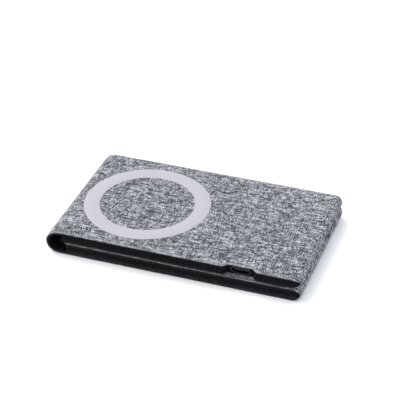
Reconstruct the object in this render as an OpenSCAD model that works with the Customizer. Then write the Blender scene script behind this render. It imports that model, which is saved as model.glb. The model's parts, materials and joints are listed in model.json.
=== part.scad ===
// Folding wireless charging pad: two fabric sleeves joined by a soft half-round spine.
// The cover holds the charger, the base is a stiff leaf, and magnets hold the pad shut.
// Frame: origin at the bottom centre, +X from the spine to the free ends,
// -Y towards the side with the port, +Z up. The pad is drawn closed.

/* [Pad] */
// Length from the spine's outer face to the free ends
pad_l = 122; // [121:1:150]
// Width along the fold
pad_w = 73; // [66:1:90]
// Thickness of the base leaf
base_t = 6.5; // [5:0.1:9]
// Air gap between the closed leaves
leaf_gap = 0.3; // [0.2:0.05:0.6]
// Radius of the cover's free corners, seen from above
cover_corner_r = 3; // [1:0.5:7]
// Radius of the base's free corners, seen from above
base_corner_r = 2; // [1:0.5:7]

/* [Skins] */
// Thickness of the woven fabric
fabric_t = 0.5; // [0.3:0.05:0.7]
// Thickness of the lining behind the fabric round the spine
lining_t = 0.9; // [0.5:0.1:1.4]
// Depth of the pressed black edge along the long sides
edge_d = 0.8; // [0.5:0.1:1.5]
// Length of the fabric's tuck round the free ends
tuck_l = 7; // [4:0.5:12]
// Distance from the spine's axis to the start of the cover's leaf
cover_start = 1.25; // [0.75:0.25:1.75]
// Distance from the spine's axis to the start of the base's leaf
base_start = 3.25; // [1.5:0.25:8]

/* [Charging ring] */
// Outer diameter of the ring on the cover
ring_d = 60; // [56:1:64]
// Width of the ring's band
ring_band = 7.5; // [5:0.5:9]
// Height of the ring above the fabric
ring_proud = 0.12; // [0.05:0.01:0.3]
// Room between the cavity's end wall and the coil carrier under the ring
ring_margin = 0.35; // [0.05:0.05:3]

/* [Port notch] */
// Distance from the board's end to the notch's centre
port_on_board = 27.5; // [14:0.5:32]
// Width of the notch at the pad's edge
notch_w = 16; // [14:0.5:20]
// Depth of the notch, with sides at 45 degrees
notch_d = 2.4; // [1.5:0.1:3.5]
// Wall of the black bezel that lines the notch
bezel_t = 0.8; // [0.6:0.1:1.2]

/* [Housing] */
// Wall of the plastic housing in the cover
housing_wall = 0.6; // [0.5:0.05:0.8]
// Width of the seam between the two housing shells
housing_seam = 0.05; // [0.02:0.01:0.1]
// Thickness of the stiffeners in the base
stiffener_t = 1; // [0.6:0.1:1.6]

/* [Coil and magnets] */
// Inner diameter of the magnet ring
magnet_id = 46; // [44:0.5:48]
// Outer diameter of the magnet ring
magnet_od = 54; // [52:0.5:56]
// Height of the ring magnets
magnet_h = 0.8; // [0.6:0.05:0.9]
// Number of ring magnets
magnet_count = 16; // [12:1:20]
// Angle left open in the magnet ring for the leads
lead_gap_deg = 22; // [16:1:40]
// Height of the steel yoke under the magnets
yoke_h = 0.3; // [0.2:0.05:0.4]
// Inner radius of the transmitter coil
coil_r = 10.5; // [9:0.5:12]
// Turns of the transmitter coil
coil_turns = 10; // [6:1:10]
// Width of the coil's flat wire
wire_w = 0.9; // [0.6:0.05:0.9]
// Height of the coil's flat wire
wire_h = 0.8; // [0.5:0.05:0.8]
// Pitch between turns
coil_pitch = 1; // [1:0.01:1.02]
// Thickness of the ferrite sheet
ferrite_h = 0.6; // [0.3:0.05:0.6]
// Thickness of the heat spreader
spreader_h = 0.25; // [0.1:0.05:0.3]
// Thickness of the carrier's floor under the coil
carrier_floor_h = 0.25; // [0.2:0.05:0.4]
// Height of the coil's crossing lead
lead_h = 0.18; // [0.1:0.02:0.3]
// Room left over the magnets, which sets the cover's thickness
head_room = 0.05; // [0.05:0.05:0.6]

/* [Circuit] */
// Length of the control board
board_l = 42; // [36:1:42]
// Width of the control board
board_w = 50; // [44:1:52]
// Thickness of the control board
board_t = 0.8; // [0.6:0.1:0.8]
// Height of the bosses under the board
boss_h = 0.45; // [0.3:0.05:0.5]
// Radius of the board screws' shanks
screw_r = 0.5; // [0.4:0.05:0.7]
// Diameter of the closure magnets
closure_d = 6; // [4:0.5:7]
// Height of the closure magnets
closure_h = 1.8; // [1:0.1:2]
// Distance from the free end and the long sides to the closure magnets' centres
closure_inset = 9; // [8:0.5:12]

/* [Hidden] */
$fn = 64;

// Clearance between pieces that are laid in one another
fit = 0.05;
// Overlap of cutting shapes past the faces they cut
cut = 1;

// Height of what lies in the cover, from the cavity's floor to its roof
core_h = max(yoke_h + magnet_h, wire_h + lead_h + fit);
stack_h = 3 * fit + spreader_h + ferrite_h + carrier_floor_h + core_h;

// Leaves
cover_t = 2 * (fabric_t + fit + housing_wall) + stack_h + head_room;
pad_t = base_t + leaf_gap + cover_t;
cover_z = base_t + leaf_gap;
end_x = pad_l / 2;
side_y = pad_w / 2;

// Spine: a half ring about an axis along Y, cut into staves that turn on its outer face
spine_r = pad_t / 2;
spine_x = -end_x + spine_r;
cover_x = spine_x + cover_start;
base_x = spine_x + base_start;
stave_deg = 60;
root_deg = 30;
stave_gap_deg = 0.5;

// Housing and its cavity
housing_x = cover_x + fabric_t + fit;
housing_end = end_x - fabric_t - fit;
housing_z = cover_z + fabric_t + fit;
housing_top = pad_t - fabric_t - fit;
housing_w = pad_w - 2 * (edge_d + fit);
cavity_z = housing_z + housing_wall;
cavity_top = housing_top - housing_wall;
cavity_x = housing_x + housing_wall;
cavity_end = housing_end - (housing_top - housing_z) / 2 - housing_wall;
cavity_y = housing_w / 2 - housing_wall;
seam_z = (housing_z + housing_top) / 2;

// Coil stack, from the cavity's floor up
carrier_rim = 0.5;
carrier_r = magnet_od / 2 + carrier_rim;
ring_x = cavity_x + ring_margin + carrier_r;
spreader_z = cavity_z + fit / 2;
ferrite_z = spreader_z + spreader_h + fit;
carrier_z = ferrite_z + ferrite_h + fit;
carrier_top = carrier_z + carrier_floor_h;
coil_z = carrier_top + fit / 2;
coil_top = coil_z + wire_h;
coil_step = coil_pitch / 2;
coil_out_r = coil_r + coil_turns * coil_pitch;
coil_reach = coil_out_r + wire_w;
yoke_z = carrier_top + fit / 2;
magnet_z = yoke_z + yoke_h;
carrier_wall_in = coil_reach + 2 * fit;
carrier_wall_out = magnet_id / 2 - 4 * fit;
magnet_gap_deg = 0.6;
thermistor_r = 1.3;
thermistor_h = 0.9;

// Circuit
board_clear = 2.5;
board_x = ring_x + carrier_r + board_clear;
board_z = cavity_z + boss_h;
board_top = board_z + board_t;
board_front = -side_y + notch_d + bezel_t + 0.7;
port_x = board_x + port_on_board;
port_y = -side_y + notch_d;
port_z = seam_z;
socket_w = 8.94;
socket_h = 3.16;
socket_l = 7.3;
socket_wall = 0.25;
socket_y = port_y + 2 * fit;
tongue_w = 6.7;
tongue_h = 0.7;
tongue_inset = 0.8;
tongue_root = 2;
lead_pad_x = board_x + board_clear;
lead_pad_l = 1.5;
screw_inset = 3;
screw_head_r = 1.1;
screw_head_h = 0.5;
screw_drive_d = 1.1;
screw_drive_h = 0.25;
board_corners = [
    for (x = [board_x + screw_inset, board_x + board_l - screw_inset])
    for (y = [board_front + screw_inset, board_front + board_w - screw_inset])
    [x, y]
];

// Closure magnets near the free end
closure_x = end_x - closure_inset;
closure_y = side_y - closure_inset;
closure_collar = 0.9;
plate_d = closure_d + 2;

// ---------- Shapes that repeat ----------

// Extrudes an X-Z outline along Y, centred on the pad's middle
module along_y(w) {
    rotate([90, 0, 0])
        linear_extrude(height = w, center = true)
            children();
}

// Leaf with a half-round free end and rounded free corners
module leaf(x0, x1, z0, z1, w, corner) {
    r = (z1 - z0) / 2;
    intersection() {
        along_y(w) {
            translate([x0, z0])
                square([x1 - r - x0, z1 - z0]);
            translate([x1 - r, z0 + r])
                circle(r);
        }
        translate([0, 0, z0 - cut])
            linear_extrude(height = z1 - z0 + 2 * cut)
                leaf_plan(x0 - cut, x1, w, corner);
    }
}

// Plan of a leaf with its two free corners rounded
module leaf_plan(x0, x1, w, corner) {
    translate([x0, -w / 2])
        square([x1 - corner - x0, w]);
    translate([x1 - 2 * corner, -w / 2 + corner])
        square([2 * corner, w - 2 * corner]);
    for (side = [-1, 1])
        translate([x1 - corner, side * (w / 2 - corner)])
            circle(corner);
}

// Box from two corners
module block(x0, x1, y0, y1, z0, z1) {
    translate([x0, y0, z0])
        cube([x1 - x0, y1 - y0, z1 - z0]);
}

// Part of the spine's ring between two radii and two angles from the bottom
module ring_sector(r_in, r_out, a0, a1) {
    reach = 2 * spine_r;
    along_y(pad_w)
        translate([spine_x, spine_r])
            intersection() {
                difference() {
                    circle(r_out, $fn = 128);
                    circle(r_in, $fn = 128);
                }
                polygon([
                    [0, 0],
                    [-reach * sin(a0), -reach * cos(a0)],
                    [-reach * sin((a0 + a1) / 2) * 1.2, -reach * cos((a0 + a1) / 2) * 1.2],
                    [-reach * sin(a1), -reach * cos(a1)]
                ]);
            }
}

// Trapezoid notch in the front edge, grown by a margin
module notch(margin, z0, z1) {
    half = notch_w / 2 + margin * sqrt(2);
    depth = notch_d + margin;
    translate([port_x, -side_y, z0])
        linear_extrude(height = z1 - z0)
            polygon([
                [-half - cut, -cut],
                [half + cut, -cut],
                [half - depth, depth],
                [-half + depth, depth]
            ]);
}

// Rounded slot of the socket, along Y
module socket_slot(w, h, y0, y1) {
    translate([port_x, y1, port_z])
        rotate([90, 0, 0])
            linear_extrude(height = y1 - y0) {
                square([w - h, h], center = true);
                for (side = [-1, 1])
                    translate([side * (w - h) / 2, 0])
                        circle(h / 2);
            }
}

// Ring about the charging axis
module coil_ring(r_in, r_out, z0, z1) {
    translate([ring_x, 0, z0])
        difference() {
            cylinder(r = r_out, h = z1 - z0, $fn = 160);
            translate([0, 0, -cut])
                cylinder(r = r_in, h = z1 - z0 + 2 * cut, $fn = 160);
        }
}

// Wedge that opens a ring towards the board
module lead_wedge(z0, z1) {
    reach = 1.5 * carrier_r;
    translate([ring_x, 0, z0])
        linear_extrude(height = z1 - z0)
            polygon([
                [0, 0],
                [reach, -reach * tan(lead_gap_deg / 2)],
                [reach, reach * tan(lead_gap_deg / 2)]
            ]);
}

// Places its children at each closure magnet
module at_closures() {
    for (side = [-1, 1])
        translate([closure_x, side * closure_y, 0])
            children();
}

// ---------- Cover ----------

module cover_shape(inset) {
    leaf(cover_x, end_x - inset, cover_z + inset, pad_t - inset, pad_w, cover_corner_r);
}

module cover_outer_fabric() color("#808489")
    difference() {
        union() {
            difference() {
                cover_shape(0);
                cover_shape(fabric_t);
                block(cover_x - cut, end_x - tuck_l, -pad_w, pad_w, cover_z - cut, pad_t - fabric_t);
            }
            block(spine_x, cover_x, -side_y, side_y, pad_t - fabric_t, pad_t);
            ring_sector(spine_r - fabric_t, spine_r, 180 - root_deg + stave_gap_deg / 2, 180);
        }
        notch(0, cover_z - cut, pad_t + cut);
    }

module cover_inner_fabric() color("#74787d")
    difference() {
        union() {
            block(cover_x, end_x - tuck_l - fit, -side_y, side_y, cover_z, cover_z + fabric_t);
            block(cover_x, cover_x + fabric_t, -side_y, side_y, cover_z, pad_t - fabric_t);
        }
        notch(0, cover_z - cut, pad_t + cut);
    }

module cover_edge(side) color("#141416")
    difference() {
        intersection() {
            cover_shape(fabric_t);
            block(
                cover_x + fabric_t, end_x,
                side > 0 ? side_y - edge_d : -side_y,
                side > 0 ? side_y : -side_y + edge_d,
                cover_z, pad_t
            );
        }
        notch(bezel_t + fit, cover_z - cut, pad_t + cut);
    }

module cover_front_edge() cover_edge(-1);

module cover_back_edge() cover_edge(1);

module cover_hinge_lining() color("#1d1d20") {
    top = pad_t - fabric_t - fit / 2;
    block(spine_x, cover_x - fit, -side_y, side_y, top - lining_t, top);
    ring_sector(
        spine_r - fabric_t - fit / 2 - lining_t, spine_r - fabric_t - fit / 2,
        180 - root_deg + stave_gap_deg / 2, 180
    );
}

module charging_ring() color("#d4d4de")
    coil_ring(ring_d / 2 - ring_band, ring_d / 2, pad_t, pad_t + ring_proud);

// Outer shape of both housing shells, with the notch and the closed cavity cut out
module housing_block(z0, z1) {
    difference() {
        intersection() {
            leaf(housing_x, housing_end, housing_z, housing_top, housing_w, cover_corner_r);
            block(-end_x, end_x, -side_y, side_y, z0, z1);
        }
        block(cavity_x, cavity_end, -cavity_y, cavity_y, cavity_z, cavity_top);
        notch(bezel_t + fit, cover_z - cut, pad_t + cut);
        block(
            port_x - socket_w / 2 - fit, port_x + socket_w / 2 + fit,
            -side_y, socket_y + socket_l + fit,
            port_z - socket_h / 2 - fit, port_z + socket_h / 2 + fit
        );
    }
}

module upper_housing() color("#2c2c30")
    housing_block(seam_z + housing_seam / 2, housing_top);

module lower_housing() color("#26262a") {
    difference() {
        union() {
            housing_block(housing_z, seam_z - housing_seam / 2);
            for (corner = board_corners)
                translate([corner[0], corner[1], cavity_z - fit])
                    cylinder(r = 3 * screw_r, h = boss_h + fit);
        }
        for (corner = board_corners)
            translate([corner[0], corner[1], cavity_z - housing_wall / 2])
                cylinder(r = screw_r + fit / 2, h = boss_h + housing_wall + cut);
    }
    at_closures()
        difference() {
            translate([0, 0, cavity_z])
                cylinder(r = closure_d / 2 + closure_collar, h = closure_h / 2);
            translate([0, 0, cavity_z - cut])
                cylinder(r = closure_d / 2 + fit, h = closure_h / 2 + 2 * cut);
        }
}

// ---------- Charger ----------

module magnet_ring() color("#b9bcc2") {
    span = 360 - lead_gap_deg;
    step = span / magnet_count;
    for (i = [0 : magnet_count - 1])
        translate([ring_x, 0, magnet_z])
            rotate([0, 0, lead_gap_deg / 2 + i * step + magnet_gap_deg / 2])
                rotate_extrude(angle = step - magnet_gap_deg, $fn = 160)
                    translate([magnet_id / 2, 0])
                        square([(magnet_od - magnet_id) / 2, magnet_h]);
}

module magnet_yoke() color("#8d9096")
    difference() {
        coil_ring(magnet_id / 2, magnet_od / 2, yoke_z, yoke_z + yoke_h);
        lead_wedge(yoke_z - cut, yoke_z + yoke_h + cut);
    }

module coil_carrier() color("#d9d6cc") {
    translate([ring_x, 0, carrier_z])
        cylinder(r = carrier_r, h = carrier_floor_h, $fn = 160);
    difference() {
        coil_ring(carrier_wall_in, carrier_wall_out, carrier_z, magnet_z + magnet_h);
        lead_wedge(carrier_top, cavity_top);
    }
}

module transmitter_coil() color("#b4703a")
    for (i = [0 : 2 * coil_turns - 1])
        translate([ring_x + (i % 2) * coil_step, 0, coil_z])
            rotate([0, 0, 180 * i])
                rotate_extrude(angle = 180, $fn = 120)
                    translate([coil_r + i * coil_step, 0])
                        square([wire_w, wire_h]);

// The outer lead leaves the last turn; the inner lead crosses over the turns
module coil_leads() color("#a8652f") {
    outer_x = ring_x + coil_out_r;
    inner_x = ring_x + coil_r;
    top = coil_top + lead_h;
    block(outer_x, lead_pad_x, 0, wire_w, coil_z, coil_top);
    block(lead_pad_x - lead_pad_l, lead_pad_x, 0, wire_w, board_top, coil_top);
    block(inner_x, inner_x + wire_w, -wire_w, 0, coil_z, top);
    block(inner_x, lead_pad_x, -wire_w, 0, coil_top + fit / 2, top);
    block(lead_pad_x - lead_pad_l, lead_pad_x, -wire_w, 0, board_top, top);
}

module coil_thermistor() color("#2a4f8f")
    translate([ring_x, 0, carrier_top])
        cylinder(r = thermistor_r, h = thermistor_h);

module ferrite_shield() color("#3b3b3e")
    translate([ring_x, 0, ferrite_z])
        cylinder(r = magnet_id / 2 - carrier_rim, h = ferrite_h, $fn = 160);

module heat_spreader() color("#c88a55")
    intersection() {
        block(cavity_x + 1, board_x - 1, -carrier_r, carrier_r, spreader_z, spreader_z + spreader_h);
        translate([ring_x, 0, spreader_z - cut])
            cylinder(r = carrier_r + 2, h = spreader_h + 2 * cut, $fn = 160);
    }

module control_board() color("#1f5c3a")
    difference() {
        block(board_x, board_x + board_l, board_front, board_front + board_w, board_z, board_top);
        block(
            port_x - socket_w / 2 - fit, port_x + socket_w / 2 + fit,
            -side_y, socket_y + socket_l + fit, board_z - cut, board_top + cut
        );
        for (corner = board_corners)
            translate([corner[0], corner[1], board_z - cut])
                cylinder(r = screw_r + fit, h = board_t + 2 * cut);
    }

// A row of like parts along X on the board, placed from its front corner near the coil
module on_board(place, size, count = 1, pitch = 0) {
    for (i = [0 : count - 1])
        translate([board_x + place[0] + i * pitch, board_front + place[1], board_top])
            cube(size);
}

module controller_chip() color("#1a1a1c")
    on_board(place = [17, 20], size = [6, 6, 0.8]);

module power_transistors() color("#232326")
    on_board(place = [8, 31], size = [3.3, 3.3, 0.75], count = 4, pitch = 5);

module resonant_capacitors() color("#b08d57")
    on_board(place = [7, 38], size = [3.2, 2.5, 0.95], count = 6, pitch = 4.6);

module power_inductor() color("#4a4a4e")
    on_board(place = [32, 19], size = [7, 7, 1]);

module board_screws() color("#9a9ca0")
    for (corner = board_corners)
        translate([corner[0], corner[1], 0]) {
            translate([0, 0, cavity_z - housing_wall / 2 + fit])
                cylinder(r = screw_r, h = board_top - cavity_z + housing_wall / 2);
            difference() {
                translate([0, 0, board_top])
                    cylinder(r = screw_head_r, h = screw_head_h);
                translate([0, 0, board_top + screw_head_h - screw_drive_h])
                    cylinder(d = screw_drive_d, h = cut, $fn = 6);
            }
        }

module usb_c_shell() color("#a5a8ad")
    difference() {
        socket_slot(socket_w, socket_h, socket_y, socket_y + socket_l);
        socket_slot(
            socket_w - 2 * socket_wall, socket_h - 2 * socket_wall,
            socket_y - cut, socket_y + socket_l - socket_wall
        );
    }

module usb_c_tongue() color("#17171a") {
    back = socket_y + socket_l - socket_wall;
    socket_slot(
        socket_w - 2 * socket_wall - 2 * fit, socket_h - 2 * socket_wall - 2 * fit,
        back - tongue_root, back
    );
    block(
        port_x - tongue_w / 2, port_x + tongue_w / 2,
        socket_y + tongue_inset, back - tongue_root,
        port_z - tongue_h / 2, port_z + tongue_h / 2
    );
}

module port_bezel() color("#101012")
    difference() {
        intersection() {
            notch(bezel_t, housing_z, housing_top);
            block(-end_x, end_x, -side_y, side_y, cover_z, pad_t);
        }
        notch(0, cover_z, pad_t);
        socket_slot(socket_w + 2 * fit, socket_h + 2 * fit, -side_y, side_y);
    }

module cover_closure_magnets() color("#b9bcc2")
    at_closures()
        translate([0, 0, cavity_z])
            cylinder(d = closure_d, h = closure_h);

// ---------- Base ----------

module base_shape(inset) {
    leaf(base_x, end_x - inset, inset, base_t - inset, pad_w, base_corner_r);
}

// Space inside the base's sleeve
module base_inside(z0, z1) {
    intersection() {
        leaf(
            base_x + fabric_t + fit, end_x - fabric_t - fit,
            fabric_t + fit, base_t - fabric_t - fit,
            pad_w - 2 * (edge_d + fit), base_corner_r
        );
        block(-end_x, end_x, -side_y, side_y, z0, z1);
    }
}

module base_outer_fabric() color("#7c8085") {
    difference() {
        base_shape(0);
        base_shape(fabric_t);
        block(base_x - cut, end_x - tuck_l, -pad_w, pad_w, fabric_t, base_t + cut);
    }
    block(spine_x, base_x, -side_y, side_y, 0, fabric_t);
    ring_sector(spine_r - fabric_t, spine_r, 0, root_deg - stave_gap_deg / 2);
}

module base_inner_fabric() color("#74787d") {
    block(base_x, end_x - tuck_l - fit, -side_y, side_y, base_t - fabric_t, base_t);
    block(base_x, base_x + fabric_t, -side_y, side_y, fabric_t, base_t);
}

module base_edge(side) color("#141416")
    intersection() {
        base_shape(fabric_t);
        block(
            base_x + fabric_t, end_x,
            side > 0 ? side_y - edge_d : -side_y,
            side > 0 ? side_y : -side_y + edge_d,
            0, base_t
        );
    }

module base_front_edge() base_edge(-1);

module base_back_edge() base_edge(1);

module base_hinge_lining() color("#1d1d20") {
    bottom = fabric_t + fit / 2;
    block(spine_x, base_x - fit, -side_y, side_y, bottom, bottom + lining_t);
    ring_sector(
        spine_r - fabric_t - fit / 2 - lining_t, spine_r - fabric_t - fit / 2,
        0, root_deg - stave_gap_deg / 2
    );
}

// Stiffeners are straight boards that stop before the half-round end
stiffener_end = end_x - base_t / 2 - 1;
lower_stiffener_top = fabric_t + fit + stiffener_t;
upper_stiffener_z = base_t - fabric_t - fit - stiffener_t;

module stiffener(z0) {
    block(
        base_x + fabric_t + fit, stiffener_end,
        -side_y + edge_d + fit, side_y - edge_d - fit,
        z0, z0 + stiffener_t
    );
}

module base_lower_stiffener() color("#6b5a45")
    stiffener(fabric_t + fit);

module base_upper_stiffener() color("#6b5a45")
    difference() {
        stiffener(upper_stiffener_z);
        at_closures()
            translate([0, 0, upper_stiffener_z - cut])
                cylinder(d = plate_d + 2 * fit, h = stiffener_t + 2 * cut);
    }

module base_foam_core() color("#3a3a3c")
    difference() {
        base_inside(0, base_t);
        block(-end_x, stiffener_end + fit, -pad_w, pad_w, 0, lower_stiffener_top + fit);
        block(-end_x, stiffener_end + fit, -pad_w, pad_w, upper_stiffener_z - fit, base_t);
    }

module base_closure_plates() color("#8d9096")
    at_closures()
        translate([0, 0, upper_stiffener_z])
            cylinder(d = plate_d, h = stiffener_t);

// ---------- Spine ----------

// Stave number i of the spine, between two depths below its outer face
module stave(i, depth0, depth1) {
    start = root_deg + stave_deg * (i - 1);
    ring_sector(
        spine_r - depth1, spine_r - depth0,
        start + stave_gap_deg / 2, start + stave_deg - stave_gap_deg / 2
    );
}

module spine_fabric(i) color("#7c8085")
    stave(i, 0, fabric_t);

module spine_lining(i) color("#1d1d20")
    stave(i, fabric_t + fit / 2, fabric_t + fit / 2 + lining_t);

cover_outer_fabric();
cover_inner_fabric();
cover_front_edge();
cover_back_edge();
charging_ring();
cover_hinge_lining();
upper_housing();
lower_housing();
magnet_ring();
magnet_yoke();
coil_carrier();
transmitter_coil();
coil_leads();
coil_thermistor();
ferrite_shield();
heat_spreader();
control_board();
controller_chip();
power_transistors();
resonant_capacitors();
power_inductor();
usb_c_shell();
usb_c_tongue();
port_bezel();
board_screws();
cover_closure_magnets();
base_outer_fabric();
base_inner_fabric();
base_front_edge();
base_back_edge();
base_hinge_lining();
base_lower_stiffener();
base_upper_stiffener();
base_foam_core();
base_closure_plates();
spine_fabric(1);  // spine_fabric_1
spine_fabric(2);  // spine_fabric_2
spine_lining(1);  // spine_lining_1
spine_lining(2);  // spine_lining_2
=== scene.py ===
"""Folding wireless charging pad: cloth skins, soft spine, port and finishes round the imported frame."""

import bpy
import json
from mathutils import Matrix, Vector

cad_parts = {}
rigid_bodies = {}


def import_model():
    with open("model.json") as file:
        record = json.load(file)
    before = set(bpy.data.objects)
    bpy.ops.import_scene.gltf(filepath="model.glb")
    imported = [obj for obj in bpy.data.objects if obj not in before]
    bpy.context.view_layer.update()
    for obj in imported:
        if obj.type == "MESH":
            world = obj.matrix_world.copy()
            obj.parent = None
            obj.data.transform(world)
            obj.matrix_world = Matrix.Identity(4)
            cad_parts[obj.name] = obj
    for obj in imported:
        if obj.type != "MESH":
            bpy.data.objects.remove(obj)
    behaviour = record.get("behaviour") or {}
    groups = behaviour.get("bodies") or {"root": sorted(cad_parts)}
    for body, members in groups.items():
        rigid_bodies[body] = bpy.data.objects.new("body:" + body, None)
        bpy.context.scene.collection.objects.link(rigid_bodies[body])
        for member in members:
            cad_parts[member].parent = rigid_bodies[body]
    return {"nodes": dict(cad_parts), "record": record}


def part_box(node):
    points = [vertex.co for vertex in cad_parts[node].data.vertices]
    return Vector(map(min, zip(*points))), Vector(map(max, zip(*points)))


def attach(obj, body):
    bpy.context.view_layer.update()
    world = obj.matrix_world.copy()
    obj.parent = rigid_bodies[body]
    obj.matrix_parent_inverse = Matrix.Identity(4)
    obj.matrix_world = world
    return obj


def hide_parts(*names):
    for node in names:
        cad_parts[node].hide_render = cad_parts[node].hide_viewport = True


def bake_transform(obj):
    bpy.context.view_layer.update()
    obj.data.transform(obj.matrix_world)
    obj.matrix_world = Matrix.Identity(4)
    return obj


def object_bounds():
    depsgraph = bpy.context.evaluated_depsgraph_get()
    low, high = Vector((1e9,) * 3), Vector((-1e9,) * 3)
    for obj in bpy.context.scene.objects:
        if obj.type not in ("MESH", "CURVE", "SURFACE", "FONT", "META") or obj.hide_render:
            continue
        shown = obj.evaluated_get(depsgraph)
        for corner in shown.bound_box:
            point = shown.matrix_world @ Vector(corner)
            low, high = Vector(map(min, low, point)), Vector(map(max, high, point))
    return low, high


bl_info = {
    "name": "Folding Charging Pad",
    "version": (1, 0, 0),
    "blender": (4, 5, 0),
    "location": "3D View > Sidebar > Charging Pad",
    "description": "Builds the cloth skins, the soft spine and the finishes of a folding charging pad",
    "category": "Object",
}

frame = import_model()
cad_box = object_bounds()

import json
import math

import bmesh
import bpy
from mathutils import Matrix, Vector

MM = 0.001
NEAR = 1e-6
nodes = frame["nodes"]

# ---------- Where the frame says that things are ----------


class Leaf:
    """Place of one leaf of the pad. Its outer cloth is on top of the cover and under the base."""

    def __init__(self, body, corner):
        outer_low, outer_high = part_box(body + "_outer_fabric")
        inner_low, inner_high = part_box(body + "_inner_fabric")
        self.start = inner_low.x
        self.end = outer_high.x
        self.half_width = outer_high.y
        self.corner = corner
        self.outer_is_up = body == "cover"
        self.low = inner_low.z if self.outer_is_up else outer_low.z
        self.high = outer_high.z if self.outer_is_up else inner_high.z
        self.radius = (self.high - self.low) / 2
        self.middle = (self.high + self.low) / 2
        self.flat_end = self.end - self.radius

    def depth(self, z):
        """Distance from the outer face towards the inner one."""
        return self.high - z if self.outer_is_up else z - self.low


class Spine:
    """Axis and radius of the half ring that joins the leaves, and its three bending stretches."""

    def __init__(self):
        self.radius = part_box("cover_outer_fabric")[1].z / 2
        self.axis_x = cad_box[0][0] + self.radius
        self.half_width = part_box("spine_fabric_1")[1].y
        self.links = [("base", "spine_1"), ("spine_1", "spine_2"), ("spine_2", "cover")]
        self.stretch = math.pi / len(self.links)

    def point(self, angle, depth=0.0):
        """Point on the spine, at an angle from its lowest line and a depth under its outer face."""
        reach = self.radius - depth
        return (self.axis_x - reach * math.sin(angle), 0.0, self.radius - reach * math.cos(angle))

    def angle(self, place):
        """Angle of a place from the spine's lowest line."""
        return math.atan2(self.axis_x - place.x, self.radius - place.z)


spine = Spine()


# ---------- Sizes and colours that a user would change ----------


def length(name, description, default):
    """A length in metres, shown in the scene's own unit."""
    return bpy.props.FloatProperty(
        name=name, description=description, default=default,
        min=0.0, soft_max=0.02, precision=5, unit="LENGTH", subtype="DISTANCE",
    )


def colour(name, description, default):
    """A colour without alpha."""
    return bpy.props.FloatVectorProperty(
        name=name, description=description, default=default,
        size=3, min=0.0, max=1.0, subtype="COLOR",
    )


class PadSizes(bpy.types.PropertyGroup):
    """Sizes of the soft parts"""

    cloth_thickness: length("Cloth thickness", "Thickness of the woven cloth", 0.5 * MM)
    lining_thickness: length("Lining thickness", "Thickness of the lining round the spine", 0.9 * MM)
    rim_thickness: length("Rim thickness", "Thickness of the black sealed rims", 0.3 * MM)
    side_rounding: length("Side rounding", "Radius of the long edges", 0.5 * MM)
    border_width: length("Border width", "Width of the pressed border along the long edges", 1.7 * MM)
    border_drop: length("Border drop", "How far the pressed border lies below the cloth", 0.08 * MM)
    cover_corner: length("Cover corner", "Radius of the cover's free corners", 3.0 * MM)
    base_corner: length("Base corner", "Radius of the base's free corners", 2.0 * MM)
    tuck: length("Tuck", "Length of the cloth's tuck behind the free end", 7.0 * MM)
    port_wall: length("Port wall", "Wall of the black piece that lines the port's notch", 0.8 * MM)
    spine_bulge: length("Spine bulge", "How far the soft spine stands out past a half circle", 0.55 * MM)
    thread_pitch: length("Thread pitch", "Distance between two threads of the weave", 0.56 * MM)
    fleck_length: length("Fleck length", "Length of the light and dark flecks along a thread", 7.0 * MM)


class PadColours(bpy.types.PropertyGroup):
    """Colours of the parts that show"""

    cloth_dark: colour("Dark threads", "Darkest threads of the cloth", (0.012, 0.0125, 0.014))
    cloth_mid: colour("Middle threads", "Commonest threads of the cloth", (0.134, 0.139, 0.155))
    cloth_light: colour("Light threads", "Lightest threads of the cloth", (0.620, 0.638, 0.680))
    rim: colour("Rim", "Black sealed rims", (0.0020, 0.0021, 0.0024))
    ring: colour("Ring", "Printed ring on the cover", (0.375, 0.364, 0.391))


# ---------- Modelling by hand ----------


def let_go():
    """Leaves edit mode and deselects everything."""
    if bpy.context.mode != "OBJECT":
        bpy.ops.object.mode_set(mode="OBJECT")
    bpy.ops.object.select_all(action="DESELECT")


def hold(piece):
    """Makes a piece the only one selected, and active."""
    let_go()
    piece.select_set(True)
    bpy.context.view_layer.objects.active = piece


def edit(piece):
    """Opens a piece in edit mode with all of it selected."""
    hold(piece)
    bpy.ops.object.mode_set(mode="EDIT")
    bpy.ops.mesh.select_mode(type="VERT")
    bpy.ops.mesh.select_all(action="SELECT")


def named(name):
    """Names the primitive just added and opens it in edit mode."""
    piece = bpy.context.active_object
    piece.name = name
    piece.data.name = name
    edit(piece)
    return piece


def pick(piece, kind, test):
    """Selects, in edit mode, only the vertices, edges or faces that pass a test."""
    bpy.ops.mesh.select_mode(type=kind)
    bpy.ops.mesh.select_all(action="DESELECT")
    mesh = bmesh.from_edit_mesh(piece.data)
    mesh.normal_update()
    items = {"VERT": mesh.verts, "EDGE": mesh.edges, "FACE": mesh.faces}[kind]
    for item in items:
        if test(item):
            item.select_set(True)
    mesh.select_flush_mode()
    bmesh.update_edit_mesh(piece.data)


def move(x=0.0, y=0.0, z=0.0):
    """Moves the selection."""
    bpy.ops.transform.translate(value=(x, y, z))


def scale(x=1.0, y=1.0, z=1.0, about=(0.0, 0.0, 0.0)):
    """Scales the selection about a point."""
    bpy.ops.transform.resize(value=(x, y, z), center_override=about)


def extrude(x=0.0, y=0.0, z=0.0):
    """Extrudes the selection along a vector."""
    bpy.ops.mesh.extrude_region_move(TRANSFORM_OT_translate={"value": (x, y, z)})


def slice_at(x=None, y=None, z=None):
    """Cuts new edges all round the mesh, in a plane across X, Y or Z."""
    bpy.ops.mesh.select_all(action="SELECT")
    place = [0.0 if value is None else value for value in (x, y, z)]
    normal = [0.0 if value is None else 1.0 for value in (x, y, z)]
    bpy.ops.mesh.bisect(plane_co=place, plane_no=normal)


def tidy_mesh():
    """Merges doubles and turns every face outwards."""
    bpy.ops.mesh.select_all(action="SELECT")
    bpy.ops.mesh.remove_doubles(threshold=NEAR)
    bpy.ops.mesh.normals_make_consistent(inside=False)


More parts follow.
